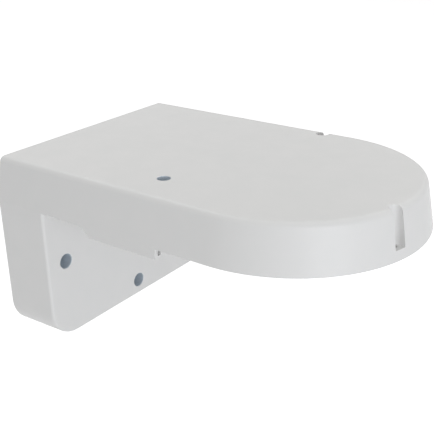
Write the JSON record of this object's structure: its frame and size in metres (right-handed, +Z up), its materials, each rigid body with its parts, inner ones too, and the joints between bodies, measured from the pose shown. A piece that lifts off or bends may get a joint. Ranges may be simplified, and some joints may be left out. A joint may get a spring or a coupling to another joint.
{
  "type": "camera wall bracket",
  "caption": "Off-white cast wall bracket for a dome camera: a hollow leg on the wall carries a flat arm that ends in a half round over the camera.",
  "frame": {"origin": "on the wall plane, midway between the two upper wall screws", "axes": "+X out of the wall along the arm, +Z up, +Y along the wall"},
  "size_m": [0.181, 0.122, 0.0885],
  "materials": {
    "powder_coat": "off-white fine-textured powder coat, satin"
  },
  "bodies": {
    "root": {"bracket_body": "powder_coat"}
  },
  "joints": []
}
